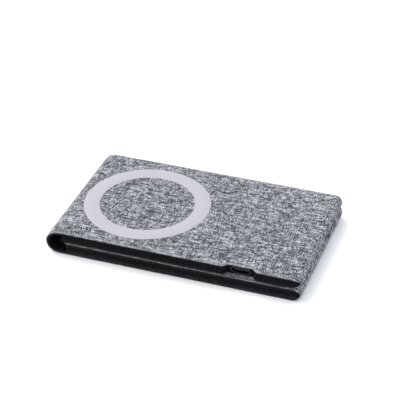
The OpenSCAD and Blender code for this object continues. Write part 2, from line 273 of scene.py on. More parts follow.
def split_off(piece, name):
    """Separates the selected part of a piece into a new one, and keeps the first in edit mode."""
    before = set(bpy.data.objects)
    bpy.ops.mesh.separate(type="SELECTED")
    part = next(o for o in bpy.data.objects if o not in before)
    part.name = name
    part.data.name = name
    edit(piece)
    return part


def modify(piece, kind, **settings):
    """Adds a modifier and applies it."""
    hold(piece)
    modifier = piece.modifiers.new(kind.title(), kind)
    for key, value in settings.items():
        setattr(modifier, key, value)
    bpy.ops.object.modifier_apply(modifier=modifier.name)


def thicken(piece, thickness, rim_slot=0):
    """Gives a skin its thickness, inwards."""
    modify(
        piece, "SOLIDIFY", thickness=thickness, offset=-1.0,
        use_even_offset=True, use_rim=True, material_offset_rim=rim_slot,
    )


def smooth(piece):
    """Shades smoothly over soft edges and leaves the sharp ones."""
    hold(piece)
    bpy.ops.object.shade_smooth_by_angle(angle=math.radians(38.0))


def finish_piece(piece, body, slot, *materials, replaces=()):
    """Gives a piece its finish and body, and hides what it stands for."""
    dress(piece, *materials)
    if body:
        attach(piece, body)
    if replaces:
        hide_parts(*replaces)


def dress(piece, *materials):
    """Sets a piece's material slots, in order."""
    for index, material in enumerate(materials):
        if index < len(piece.data.materials):
            piece.data.materials[index] = material
        else:
            piece.data.materials.append(material)


# ---------- Writing materials ----------


class Value:
    """An output of a shader node that takes part in expressions."""

    def __init__(self, paint, socket):
        self.paint = paint
        self.socket = socket

    def __add__(self, other):
        return self.paint.maths("ADD", self, other)

    def __sub__(self, other):
        return self.paint.maths("SUBTRACT", self, other)

    def __rsub__(self, other):
        return self.paint.maths("SUBTRACT", other, self)

    def __mul__(self, other):
        return self.paint.maths("MULTIPLY", self, other)

    def __truediv__(self, other):
        return self.paint.maths("DIVIDE", self, other)

    def __gt__(self, other):
        return self.paint.maths("GREATER_THAN", self, other)

    def __mod__(self, other):
        return self.paint.maths("FLOORED_MODULO", self, other)

    __radd__ = __add__
    __rmul__ = __mul__


class Paint:
    """A material under work: its principled shader, and short ways to add nodes."""

    def __init__(self, name, roughness, metallic=0.0, specular=0.5, coat=0.0, sheen=0.0):
        self.material = bpy.data.materials.new(name)
        self.material.use_nodes = True
        self.tree = self.material.node_tree
        self.surface = self.tree.nodes["Principled BSDF"]
        self.set("Roughness", roughness)
        self.set("Metallic", metallic)
        self.set("Specular IOR Level", specular)
        self.set("Coat Weight", coat)
        self.set("Sheen Weight", sheen)

    def set(self, socket, value):
        """Sets or links one socket of the shader."""
        self.feed(self.surface.inputs[socket], value)

    def feed(self, socket, value):
        """Links a value to a socket, or sets the socket to a plain number or colour."""
        if isinstance(value, Value):
            self.tree.links.new(value.socket, socket)
        elif socket.type == "RGBA" and len(value) == 3:
            socket.default_value = (*value, 1.0)
        else:
            socket.default_value = value

    def node(self, kind, settings=None, sockets=None, out=0):
        """Adds a node: its settings first, then the values or links of its sockets."""
        node = self.tree.nodes.new(kind)
        for key, value in (settings or {}).items():
            if key == "stops":
                self.set_stops(node.color_ramp, value)
            else:
                setattr(node, key, value)
        for key, value in (sockets or {}).items():
            self.feed(node.inputs[key], value)
        if isinstance(out, int):
            return Value(self, node.outputs[out])
        return [Value(self, node.outputs[index]) for index in out]

    def set_stops(self, ramp, stops):
        """Gives a ramp its stops, as pairs of a place and a colour."""
        while len(ramp.elements) < len(stops):
            ramp.elements.new(1.0)
        for element, (place, shade) in zip(ramp.elements, stops):
            element.position = place
            element.color = (*shade, 1.0)

    def maths(self, operation, first, second=0.0):
        return self.node("ShaderNodeMath", {"operation": operation}, {0: first, 1: second})

    def floor(self, value):
        return self.maths("FLOOR", value)

    def larger(self, first, second):
        return self.maths("MAXIMUM", first, second)

    def steady(self, value, low, high):
        """0 below low, 1 above high, and smooth between."""
        settings = {"interpolation_type": "SMOOTHSTEP"}
        return self.node("ShaderNodeMapRange", settings, {0: value, 1: low, 2: high})

    def mix(self, factor, first, second, blend="MIX"):
        settings = {"data_type": "RGBA", "blend_type": blend}
        return self.node("ShaderNodeMix", settings, {0: factor, 6: first, 7: second}, out=2)

    def ramp(self, value, stops):
        return self.node("ShaderNodeValToRGB", {"stops": stops}, {0: value})

    def join(self, x, y, z=0.0):
        return self.node("ShaderNodeCombineXYZ", None, {0: x, 1: y, 2: z})

    def place(self):
        """Object coordinates, in metres, apart."""
        point = self.node("ShaderNodeTexCoord", out=3)
        return self.node("ShaderNodeSeparateXYZ", None, {0: point}, out=(0, 1, 2))

    def cloth_place(self):
        """The cloth's own map, in metres: along the pad and across it."""
        point = self.node("ShaderNodeUVMap", {"uv_map": "cloth"})
        return self.node("ShaderNodeSeparateXYZ", None, {0: point}, out=(0, 1))

    def attribute(self, name):
        """A number written on the mesh's points."""
        return self.node("ShaderNodeAttribute", {"attribute_name": name}, out=2)

    def noise(self, x, y, z=0.0, detail=2.0, roughness=0.5):
        sockets = {"Vector": self.join(x, y, z), "Scale": 1.0, "Detail": detail, "Roughness": roughness}
        return self.node("ShaderNodeTexNoise", None, sockets)

    def grain(self, size, detail=2.0, roughness=0.5, stretch=(1.0, 1.0, 1.0)):
        """Noise over the object, with grains of one size in metres, stretched along an axis."""
        axes = [axis / (size * factor) for axis, factor in zip(self.place(), stretch)]
        return self.noise(*axes, detail=detail, roughness=roughness)

    def chance(self, x, y):
        """A random value for each whole pair of numbers."""
        return self.node("ShaderNodeTexWhiteNoise", {"noise_dimensions": "2D"}, {0: self.join(x, y)})

    def cells(self, size, settings, smoothness=None):
        """Distance to the nearest of many scattered points, one size apart in metres."""
        sockets = {"Vector": self.join(*(axis / size for axis in self.place())), "Scale": 1.0}
        if smoothness is not None:
            sockets["Smoothness"] = smoothness
        return self.node("ShaderNodeTexVoronoi", settings, sockets)

    def tint(self, drift, shade, low, high):
        """Colours the surface between a darker and a lighter version of one shade."""
        darker = [value * low for value in shade]
        lighter = [min(1.0, value * high) for value in shade]
        self.set("Base Color", self.mix(drift, darker, lighter))

    def bump(self, height, depth, strength=1.0):
        """Raises the surface by a height from 0 to 1, times a depth in metres."""
        sockets = {"Strength": strength, "Distance": depth, "Height": height}
        self.set("Normal", self.node("ShaderNodeBump", None, sockets))


# Shares of the long flecks, the broad patches and the short dashes in a thread's tone, and its offset.
FLECK_SHARE, PATCH_SHARE, DASH_SHARE, TONE_OFFSET = 0.58, 0.03, 0.48, -0.065
# Tones of the dark, middle and light threads.
DARK_TONE, MID_TONE, LIGHT_TONE = 0.26, 0.49, 0.74
# Threads that a dash runs over, and how far each next thread's dashes are shifted.
WEFT_DASH, WEFT_SHIFT = 4.0, 0.37
WARP_DASH, WARP_SHIFT = 3.0, 0.59
# Steps between the patterns of neighbouring threads, and where the warp's draws start.
WEFT_STEP, WARP_STEP, WARP_DRAWS = 7.31, 5.17, 500.0
PATCH_SIZE = 6.0 * MM
FIBRE_LENGTH, FIBRE_WIDTH = 0.8 * MM, 0.07 * MM
WEAVE_DEPTH = 0.16 * MM


def woven_cloth():
    """Plain weave of light, middle and dark melange threads, with a smoother pressed border, and painted
    shade on the thread sides, the rounded lips and the inner cloths' pressed borders.
    """
    sizes = bpy.context.scene.pad_sizes
    colours = bpy.context.scene.pad_colours
    paint = Paint("woven_cloth", roughness=0.9, specular=0.2, sheen=0.15)
    along, across = paint.cloth_place()
    warp = along / sizes.thread_pitch
    weft = across / sizes.thread_pitch
    column = paint.floor(warp)
    row = paint.floor(weft)
    over = (column + row) % 2.0 > 0.5

    def on_top(weft_value, warp_value):
        """The value of the thread that lies on top: weft or warp."""
        return over * weft_value + (1.0 - over) * warp_value

    def roundness(part):
        """1 along a thread's middle line and 0 at its sides."""
        return 1.0 - part * part * 4.0

    # The third number of a noise says which slice of its pattern is shown.
    weft_fleck = paint.noise(along / sizes.fleck_length, row * WEFT_STEP, 3.0, detail=0.5)
    warp_fleck = paint.noise(column * WARP_STEP, across * 2.0 / sizes.fleck_length, 9.0, detail=0.5)
    weft_round = roundness(weft - row - 0.5)
    warp_round = roundness(warp - column - 0.5)
    weft_share = 0.65 + 0.25 * over
    fleck = weft_share * weft_fleck + (1.0 - weft_share) * warp_fleck
    rise = on_top(weft_round * (0.45 + 0.55 * warp_round), warp_round * (0.45 + 0.55 * weft_round))
    patch = paint.noise(along / PATCH_SIZE, across / PATCH_SIZE, 1.0)
    weft_dash = paint.chance(paint.floor(warp / WEFT_DASH + row * WEFT_SHIFT), row)
    warp_dash = paint.chance(column + WARP_DRAWS, paint.floor(weft / WARP_DASH + column * WARP_SHIFT))
    dash = on_top(weft_dash, warp_dash)
    tone = fleck * FLECK_SHARE + patch * PATCH_SHARE + dash * DASH_SHARE + TONE_OFFSET

    worn = paint.steady(paint.attribute("pressed"), 0.05, 0.5)
    calm_tone = tone * 0.45 + 0.30
    tone = tone * (1.0 - worn) + calm_tone * worn
    shade = paint.ramp(tone, [
        (DARK_TONE, colours.cloth_dark), (MID_TONE, colours.cloth_mid), (LIGHT_TONE, colours.cloth_light),
    ])
    weft_fibre = paint.noise(along / FIBRE_LENGTH, across / FIBRE_WIDTH, 7.0)
    warp_fibre = paint.noise(along / FIBRE_WIDTH, across / FIBRE_LENGTH, 7.0)
    fibre = on_top(weft_fibre, warp_fibre)
    # Painted shade of the weave: each thread is painted darker towards its sides, less so on the pressed
    # border, with the fibres' grain on top.
    light = 0.30 + 0.66 * paint.larger(rise, worn * 0.7) + 0.30 * fibre
    # Painted shade on the rounded lips and the inner cloths' pressed borders, read from the shade attribute.
    painted_cloth_shade = light * (1.0 - paint.attribute("shade"))
    paint.set("Base Color", paint.mix(1.0, shade, paint.join(painted_cloth_shade, painted_cloth_shade, painted_cloth_shade), "MULTIPLY"))
    height = (rise * 0.85 + fibre * 0.15) * (1.0 - 0.7 * worn)
    paint.bump(height, WEAVE_DEPTH, 0.8)
    return paint.material


def black_rim():
    """Black sealed edge, satin, with faint upright ridges where the layers were pressed, painted lighter
    away from a darkest line: painted highlight above it and painted floor reflection below it.
    """
    colours = bpy.context.scene.pad_colours
    paint = Paint("black_rim", roughness=0.5, specular=0.05)
    ridges = paint.grain(0.0008, detail=3.0, roughness=0.7, stretch=(1.0, 3.0, 5.0))
    cloud = paint.grain(0.006)
    # Painted highlight and floor reflection: the rim is painted lighter away from its darkest line, and also
    # along its real ridges.
    painted_light_reach = paint.maths("ABSOLUTE", paint.attribute("height")) * 2.0
    painted_highlight_and_ridges = paint.steady(painted_light_reach * 0.6 + ridges * 0.8, 0.45, 1.15)
    paint.tint(painted_highlight_and_ridges, colours.rim, 1.0, 12.0)
    paint.set("Roughness", 0.40 + 0.18 * cloud + 0.10 * ridges)
    paint.bump(ridges * 0.8 + cloud * 0.2, 0.00008, 0.6)
    return paint.material


def black_lining():
    """Black synthetic leather: small rounded pebbles with fine creases across the bend."""
    paint = Paint("black_lining", roughness=0.5, specular=0.12)
    cells = paint.cells(0.0007, {"feature": "SMOOTH_F1"}, smoothness=0.4)
    creases = paint.grain(0.0009, stretch=(1.0, 14.0, 1.0))
    paint.set("Base Color", paint.mix(cells, [0.010, 0.010, 0.011], [0.004, 0.004, 0.0045]))
    paint.set("Roughness", 0.42 + 0.2 * cells)
    paint.bump(1.0 - cells * 0.7 + creases * 0.5, 0.00006, 0.7)
    return paint.material


def ring_print():
    """Pale printed film, matt, with a faint speckle."""
    colours = bpy.context.scene.pad_colours
    paint = Paint("ring_print", roughness=0.55, specular=0.35)
    speckle = paint.grain(0.0003, detail=3.0)
    cloud = paint.grain(0.018)
    paint.tint(speckle * 0.5 + cloud * 0.5, colours.ring, 0.94, 1.06)
    paint.set("Roughness", 0.48 + 0.14 * speckle)
    paint.bump(speckle, 0.00002, 0.5)
    return paint.material


def moulded(name, shade, roughness=0.5, grain=0.00035, depth=0.00003, specular=0.4, coat=0.0):
    """Moulded plastic or resin: fine spark texture and slight drift of tone."""
    paint = Paint(name, roughness=roughness, specular=specular, coat=coat)
    spark = paint.grain(grain, detail=3.0, roughness=0.6)
    drift = paint.grain(0.012)
    paint.tint(0.6 * drift + 0.4 * spark, shade, 0.82, 1.2)
    paint.set("Roughness", roughness - 0.06 + 0.14 * spark)
    paint.bump(spark, depth, 0.5)
    return paint.material


def metal(name, shade, roughness=0.3, stretch=(12.0, 1.0, 1.0), grain=0.0002):
    """Rolled, drawn or plated metal: fine lines along one way and a drift of tone."""
    paint = Paint(name, roughness=roughness, metallic=1.0)
    lines = paint.grain(grain, detail=3.0, stretch=stretch)
    drift = paint.grain(0.008)
    paint.tint(0.5 * lines + 0.5 * drift, shade, 0.8, 1.12)
    paint.set("Roughness", roughness - 0.08 + 0.16 * lines)
    paint.bump(lines, 0.00001, 0.5)
    return paint.material


def wound_wire():
    """Enamelled copper: warm metal under a clear coat, with slight changes along the turns."""
    paint = Paint("copper_wire", roughness=0.25, metallic=1.0, coat=0.6)
    drift = paint.grain(0.004)
    fine = paint.grain(0.00025, detail=3.0)
    paint.set("Base Color", paint.mix(drift, [0.62, 0.25, 0.09], [0.80, 0.38, 0.16]))
    paint.set("Roughness", 0.18 + 0.15 * fine)
    paint.bump(fine, 0.00001, 0.4)
    return paint.material


def circuit_board():
    """Green solder mask over copper tracks, with a clear gloss."""
    paint = Paint("circuit_board", roughness=0.35, coat=0.4)
    x, y, _ = paint.place()
    lanes = paint.node(
        "ShaderNodeTexBrick", {"offset": 0.37, "squash": 1.6, "squash_frequency": 3},
        {
            "Vector": paint.join(x / 0.008, y / 0.008), "Scale": 1.0, "Mortar Size": 0.018,
            "Mortar Smooth": 0.3, "Brick Width": 0.7, "Row Height": 0.16,
        },
        out=1,
    )
    glaze = paint.grain(0.004)
    mask = paint.mix(glaze, [0.008, 0.075, 0.032], [0.014, 0.110, 0.050])
    paint.set("Base Color", paint.mix(lanes, mask, [0.030, 0.185, 0.075]))
    paint.set("Roughness", 0.28 + 0.12 * glaze)
    paint.bump(lanes, 0.00003, 0.6)
    return paint.material


def pressed_board():
    """Fibre board: short fibres lying flat in every direction."""
    paint = Paint("fibreboard", roughness=0.85, specular=0.2)
    long_way = paint.grain(0.0004, detail=4.0, stretch=(9.0, 1.0, 1.0))
    cross_way = paint.grain(0.0004, detail=4.0, stretch=(1.0, 9.0, 1.0))
    fibres = paint.larger(long_way, cross_way)
    lit = paint.steady(fibres, 0.4, 0.75)
    paint.set("Base Color", paint.mix(lit, [0.15, 0.10, 0.06], [0.36, 0.27, 0.17]))
    paint.bump(fibres, 0.00005, 0.7)
    return paint.material


def cellular_foam():
    """Closed-cell foam: round cells with soft walls."""
    paint = Paint("core_foam", roughness=0.9, specular=0.2)
    cells = paint.cells(0.0006, {"feature": "F1"})
    paint.set("Base Color", paint.mix(cells, [0.022, 0.022, 0.025], [0.065, 0.065, 0.070]))
    paint.bump(cells, 0.00012, 0.7)
    return paint.material


def make_materials():
    """One material for each slot of the record."""
    cloth = woven_cloth()
    return {
        "grey_fabric": cloth,
        "inner_fabric": cloth,
        "black_edge": black_rim(),
        "ring_film": ring_print(),
        "black_lining": black_lining(),
        "housing_plastic": moulded("housing_plastic", [0.020, 0.020, 0.022]),
        "magnet_nickel": metal("magnet_nickel", [0.66, 0.64, 0.60], 0.22, stretch=(1.0, 1.0, 1.0)),
        "yoke_steel": metal("yoke_steel", [0.46, 0.47, 0.49], 0.38),
        "carrier_plastic": moulded("carrier_plastic", [0.68, 0.65, 0.57], 0.55),
        "copper_wire": wound_wire(),
        "sensor_epoxy": moulded("sensor_epoxy", [0.03, 0.08, 0.30], 0.25, coat=0.5),
        "ferrite": moulded("ferrite", [0.040, 0.040, 0.044], 0.6, grain=0.0002, depth=0.00004),
        "spreader_copper": metal("spreader_copper", [0.72, 0.36, 0.20], 0.3),
        "circuit_board": circuit_board(),
        "chip_epoxy": moulded("chip_epoxy", [0.012, 0.012, 0.013], 0.55, grain=0.00012),
        "capacitor_ceramic": moulded("capacitor_ceramic", [0.34, 0.22, 0.11], 0.45, grain=0.0002),
        "socket_steel": metal("socket_steel", [0.06, 0.06, 0.065], 0.4, stretch=(1.0, 12.0, 1.0)),
        "socket_plastic": moulded("socket_plastic", [0.010, 0.010, 0.011], 0.45, grain=0.00015),
        "bezel_plastic": moulded("bezel_plastic", [0.0022, 0.0023, 0.0025], 0.42, specular=0.06),
        "screw_steel": metal("screw_steel", [0.48, 0.48, 0.50], 0.3, stretch=(1.0, 1.0, 1.0)),
        "fibreboard": pressed_board(),
        "core_foam": cellular_foam(),
    }


materials = {}


# ---------- Leaf skins ----------

DARKEST_HEIGHT = 0.58  # of a rim's darkest line, as a share of its leaf's thickness; painted highlight and floor reflection lighten the rim away from it
OUTER_LIP_PAINTED_SHADE = 0.42  # painted shade on the outer cloth's lips
INNER_BORDER_PAINTED_SHADE = 0.8  # painted shade on the inner cloths' pressed borders
INNER_LIP_PAINTED_SHADE = {"cover": 0.93, "base": 0.35}  # painted shade on the inner cloths' lips
RIM_PAINTED_LIGHT_SPREAD = {"cover": 0.35, "base": 1.0}  # how strongly painted highlight and floor reflection lighten a rim away from its darkest line


def notch_of_cover(sizes):
    """Centre, half width at the mouth and depth of the port's notch, with sides at 45 degrees."""
    low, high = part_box("port_bezel")
    centre = (low.x + high.x) / 2
    half_mouth = (high.x - low.x) / 2 - sizes.port_wall * math.sqrt(2)
    depth = high.y - low.y - sizes.port_wall
    return centre, half_mouth, depth


def draw_plan(leaf, name, sizes, notch):
    """The leaf's plan as a flat sheet: round free corners, border lines and, on the cover, the notch."""
    bpy.ops.mesh.primitive_plane_add(size=1.0)
    sheet = named(name)
    scale(leaf.end - leaf.start, 2 * leaf.half_width)
    move((leaf.end + leaf.start) / 2, 0.0, leaf.low)
    pick(sheet, "VERT", lambda v: v.co.x > leaf.end - NEAR)
    bpy.ops.mesh.bevel(offset=leaf.corner, segments=10, affect="VERTICES")
    border_y = leaf.half_width - sizes.border_width
    slice_at(y=-border_y)
    slice_at(y=border_y)
    if notch:
        centre, half_mouth, depth = notch
        half_floor = half_mouth - depth
        for x in (centre - half_mouth, centre - half_floor, centre + half_floor, centre + half_mouth):
            slice_at(x=x)
        pick(sheet, "VERT", lambda v: abs(v.co.x - centre) < half_floor + NEAR and v.co.y < -border_y + NEAR)
        move(y=depth)
    return sheet


def raise_shell(sheet, leaf, sizes, steps=24):
    """Pulls the plan up through the leaf's height and draws each level in to the edge's profile."""
    turns = [math.pi * (step / steps - 0.5) for step in range(steps + 1)]
    heights = [leaf.middle + leaf.radius * math.sin(turn) for turn in turns]
    bpy.ops.mesh.select_all(action="SELECT")
    for below, above in zip(heights, heights[1:]):
        extrude(z=above - below)
    bend_start = leaf.end - leaf.corner - NEAR
    for turn, height in zip(turns, heights):
        pick(sheet, "VERT", lambda v: abs(v.co.z - height) < NEAR)
        scale(y=1.0 - side_inset(leaf, height, sizes.side_rounding) / leaf.half_width)
        pick(sheet, "VERT", lambda v: abs(v.co.z - height) < NEAR and v.co.x > bend_start)
        move(x=-leaf.radius * (1.0 - math.cos(turn)))
    tidy_mesh()


def side_inset(leaf, height, rounding):
    """How far a level of the leaf stands back from its side, for rounded long edges."""
    depth = min(height - leaf.low, leaf.high - height)
    if depth >= rounding:
        return 0.0
    return rounding - math.sqrt(rounding ** 2 - (rounding - depth) ** 2)


def on_border(place, leaf, sizes, notch):
    """A point outside the line where the pressed border starts."""
    inside = 0.6 * sizes.border_width
    if abs(place.y) > leaf.half_width - inside:
        return True
    if not notch:
        return False
    centre, half_mouth, depth = notch
    over_floor = abs(place.x - centre) < half_mouth - depth + NEAR
    return over_floor and place.y < depth + inside - leaf.half_width


def press_border(shell, leaf, sizes, notch):
    """Presses the border along the long edges and the notch a little below the cloth."""
    reach = 1.2 * sizes.side_rounding
    for face, way in ((leaf.high, 1.0), (leaf.low, -1.0)):
        root = face - way * reach
        pick(
            shell, "VERT",
            lambda v: (v.co.z - root) * way > -NEAR and on_border(v.co, leaf, sizes, notch),
        )
        scale(z=1.0 - sizes.border_drop / reach, about=(0.0, 0.0, root))


def mark_border(shell, leaf, sizes, notch):
    """Writes how strongly each point is pressed, for the cloth's finish."""
    let_go()
    layer = shell.data.attributes.new("pressed", "FLOAT", "POINT")
    for vertex, item in zip(shell.data.vertices, layer.data):
        item.value = 1.0 if on_border(vertex.co, leaf, sizes, notch) else 0.0


def mark_painted_shade(cloth, leaf, sizes, border, lip):
    """Writes how far the cloth is darkened by painted shade: on the pressed border, and on its rounded lips.
    """
    lip_start = leaf.half_width - 0.6 * sizes.side_rounding
    pressed = cloth.data.attributes["pressed"].data
    layer = cloth.data.attributes.new("shade", "FLOAT", "POINT")
    for vertex, press, item in zip(cloth.data.vertices, pressed, layer.data):
        item.value = lip if abs(vertex.co.y) > lip_start else border * press.value


def mark_painted_rim_light(rim, leaf, spread):
    """Writes how far up its leaf each point of a rim is, from its darkest line, for the rim's painted
    highlight and floor reflection.
    """
    layer = rim.data.attributes.new("height", "FLOAT", "POINT")
    for vertex, item in zip(rim.data.vertices, layer.data):
        height = (vertex.co.z - leaf.low) / (leaf.high - leaf.low)
        item.value = (height - DARKEST_HEIGHT) * spread


def is_rim(face, leaf):
    """A face of the black sealed rim on a long side, or round the notch."""
    steepest, least_sideways, least_on_corner = 0.35, 0.45, 0.62
    if abs(face.normal.z) > steepest:
        return False
    on_corner = face.calc_center_median().x > leaf.flat_end - leaf.corner
    return abs(face.normal.y) > (least_on_corner if on_corner else least_sideways)


def skin_leaf(body, corner, sizes):
    """Models one leaf's skins: outer cloth, inner cloth and two black rims."""
    leaf = Leaf(body, corner)
    notch = notch_of_cover(sizes) if body == "cover" else None
    outer = draw_plan(leaf, body + "_outer_cloth", sizes, notch)
    raise_shell(outer, leaf, sizes)
    press_border(outer, leaf, sizes, notch)
    slice_at(x=leaf.end - sizes.tuck)
    if notch:
        drop_notch_wall(outer, leaf, sizes, notch)
    mark_border(outer, leaf, sizes, notch)
    edit(outer)

    pick(outer, "FACE", lambda f: is_rim(f, leaf) and f.calc_center_median().y < 0)
    front = split_off(outer, body + "_front_rim")
    pick(outer, "FACE", lambda f: is_rim(f, leaf) and f.calc_center_median().y > 0)
    back = split_off(outer, body + "_back_rim")
    tuck_x = leaf.end - sizes.tuck

    def is_inner(face):
        place = face.calc_center_median()
        return place.x < tuck_x and (place.x < leaf.start + NEAR or leaf.depth(place.z) > leaf.radius)

    def is_covered_wall(face):
        place = face.calc_center_median()
        return place.x < leaf.start + NEAR and leaf.depth(place.z) < sizes.cloth_thickness

    pick(outer, "FACE", is_covered_wall)
    bpy.ops.mesh.delete(type="FACE")
    pick(outer, "FACE", is_inner)
    inner = split_off(outer, body + "_inner_cloth")

    def is_spine_edge(edge):
        return edge.is_boundary and all(v.co.x < leaf.start + NEAR for v in edge.verts)

    pick(outer, "EDGE", is_spine_edge)
    extrude(x=spine.axis_x - leaf.start)
    if body == "cover":
        bpy.ops.mesh.duplicate()
        split_off(outer, "spine_cloth")
    outwards = 1.0 if leaf.outer_is_up else -1.0
    pick(outer, "FACE", lambda f: f.calc_center_median().x < leaf.start and f.normal.z * outwards < 0)
    bpy.ops.mesh.flip_normals()
    let_go()
    for face in inner.data.polygons:
        face.material_index = 1 if face.center.x < leaf.start + NEAR else 0
    # Painted highlight and floor reflection on the rims, by their height.
    for rim in (front, back):
        mark_painted_rim_light(rim, leaf, RIM_PAINTED_LIGHT_SPREAD[body])
    # Painted shade on the cloths' rounded lips and the inner cloths' pressed borders.
    mark_painted_shade(outer, leaf, sizes, border=0.0, lip=OUTER_LIP_PAINTED_SHADE)
    mark_painted_shade(inner, leaf, sizes, border=INNER_BORDER_PAINTED_SHADE, lip=INNER_LIP_PAINTED_SHADE[body])
    lay_outer_map(outer, leaf)
    lay_inner_map(inner, leaf)
    thicken(outer, sizes.cloth_thickness, rim_slot=1)
    thicken(inner, sizes.cloth_thickness, rim_slot=1)
    for rim in (front, back):
        thicken(rim, sizes.rim_thickness)
    cloth, edge = materials["grey_fabric"], materials["black_edge"]
    for piece, slot, part, *finishes in (
        (outer, "grey_fabric", "_outer_fabric", cloth, edge),
        (inner, "inner_fabric", "_inner_fabric", cloth, edge),
        (front, "black_edge", "_front_edge", edge),
        (back, "black_edge", "_back_edge", edge),
    ):
        finish_piece(piece, body, slot, *finishes, replaces=[body + part])
        smooth(piece)
    declare_cloths(leaf, outer, sizes)


def drop_notch_wall(shell, leaf, sizes, notch):
    """Opens the notch's wall between its two lips, where the port's black piece shows."""
    centre, half_mouth, _ = notch
    outside = half_mouth + math.sqrt(2) * sizes.port_wall
    slice_at(x=centre - outside)
    slice_at(x=centre + outside)

    def in_notch(face):
        place = face.calc_center_median()
        lip = min(leaf.high - place.z, place.z - leaf.low)
        return (
            abs(place.x - centre) < outside and place.y < 0
            and abs(face.normal.z) < 0.3 and lip > sizes.cloth_thickness
        )

    pick(shell, "FACE", in_notch)
    bpy.ops.mesh.delete(type="FACE")


def lay_map(piece, along):
    """Adds the cloth's own map, in metres."""
    layer = piece.data.uv_layers.get("cloth") or piece.data.uv_layers.new(name="cloth")
    for loop in piece.data.loops:
        place = piece.data.vertices[loop.vertex_index].co
        layer.data[loop.index].uv = (along(place), place.y)


def lay_outer_map(piece, leaf):
    """Map of the outer cloth: flat, round the free end, and back along the tuck."""
    start = 0.0 if leaf.outer_is_up else -math.pi * spine.radius

    def along(place):
        outwards = (place.z - leaf.middle) * (1.0 if leaf.outer_is_up else -1.0)
        if place.x > leaf.flat_end:
            run = leaf.flat_end + leaf.radius * math.atan2(place.x - leaf.flat_end, outwards)
        elif outwards > 0:
            run = place.x
        else:
            run = 2 * leaf.flat_end + math.pi * leaf.radius - place.x
        run -= spine.axis_x
        return run if leaf.outer_is_up else start - run

    lay_map(piece, along)


def lay_inner_map(piece, leaf):
    """Map of the inner cloth: flat, and down the wall at the leaf's start."""

    def along(place):
        return place.x - leaf.depth(place.z)

    lay_map(piece, along)


def declare_cloths(leaf, outer, sizes):
    """Writes on the outer cloth the length it was cut to and the core it rests on."""
    outer_run = leaf.flat_end - spine.axis_x + math.pi * leaf.radius + leaf.flat_end - leaf.end + sizes.tuck
    core = "upper_housing" if leaf.outer_is_up else "base_lower_stiffener"
    outer["flat_run"] = outer_run
    outer["rests_on"] = core


# ---------- Operators ----------


class PAD_OT_materials(bpy.types.Operator):
    """Write the materials and dress the pieces that the frame brings"""

    bl_idname = "pad.materials"
    bl_label = "Materials"

    def execute(self, context):
        materials.update(make_materials())
        for part in frame["record"]["subparts"]:
            for slot in nodes[part["node"]].material_slots:
                slot.material = materials[part["material_slot"]]
        return {"FINISHED"}


class PAD_OT_leaf_skins(bpy.types.Operator):
    """Model the cloths and black rims of the cover and the base"""

    bl_idname = "pad.leaf_skins"
    bl_label = "Leaf Skins"

    def execute(self, context):
        sizes = context.scene.pad_sizes
        skin_leaf("cover", sizes.cover_corner, sizes)
        skin_leaf("base", sizes.base_corner, sizes)
        return {"FINISHED"}


class PAD_OT_spine_cloth(bpy.types.Operator):
    """Spin the cover cloth's edge round the spine and part it into three stretches"""

    bl_idname = "pad.spine_cloth"
    bl_label = "Spine Cloth"

    def execute(self, context):
        sizes = context.scene.pad_sizes
        cloth = bpy.data.objects["spine_cloth"]
        edit(cloth)
        bpy.ops.mesh.spin(
            steps=36, angle=math.pi, center=(spine.axis_x, 0.0, spine.radius), axis=(0.0, 1.0, 0.0),
        )
        tidy_mesh()
        let_go()
        lay_map(cloth, lambda place: -spine.radius * (math.pi - spine.angle(place)))
        face_out(cloth)
        strips = self.cut_stretches(cloth)
        for strip in strips:
            edit(strip)
            bpy.ops.mesh.select_all(action="SELECT")
            bulge(sizes)
            thicken(strip, sizes.cloth_thickness, rim_slot=1)
            finish_piece(strip, None, "grey_fabric", materials["grey_fabric"], materials["black_edge"])
            smooth(strip)
        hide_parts("spine_fabric_1", "spine_fabric_2")
        bend_strips(strips)
        return {"FINISHED"}

    def cut_stretches(self, cloth):
        """Parts the spun cloth at the lines where one hinge's stretch ends and the next starts."""
        strips = []
        for number in range(1, len(spine.links)):
            limit = number * spine.stretch
            edit(cloth)
            pick(cloth, "FACE", lambda f: spine.angle(f.calc_center_median()) < limit)
            strips.append(split_off(cloth, f"spine_cloth_{number}"))
        let_go()
        cloth.name = f"spine_cloth_{len(spine.links)}"
        return strips + [cloth]


def face_out(piece):
    """Turns an open skin of the spine so that its faces look away from the spine's axis."""
    centre = Vector((spine.axis_x, 0.0, spine.radius))
    face = piece.data.polygons[len(piece.data.polygons) // 2]
    away = face.center - centre
    away.y = 0.0
    if face.normal.dot(away) < 0:
        edit(piece)
        bpy.ops.mesh.flip_normals()
        let_go()


def bulge(sizes):
    """Draws the selected part of the spine out, as a soft fold stands out past a half circle."""
    scale(x=1.0 + sizes.spine_bulge / spine.radius, about=(spine.axis_x, 0.0, 0.0))


def bend_strips(strips):
    """Bakes each stretch of the spine's placement into its mesh; the stretches are not joined to the two
    bodies that they lie between.
    """
    for number, (strip, (lower, upper)) in enumerate(zip(strips, spine.links)):
        start = spine.point(number * spine.stretch)
        end = spine.point((number + 1) * spine.stretch)
        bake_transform(strip)


SIDE_GAP = 0.1 * MM  # lining to the spine's ends
CLOTH_GAP = 0.02 * MM  # lining to cloth
WALL_GAP = 0.05 * MM  # lining to the leaf's start
LINING_CORNER = 0.25 * MM


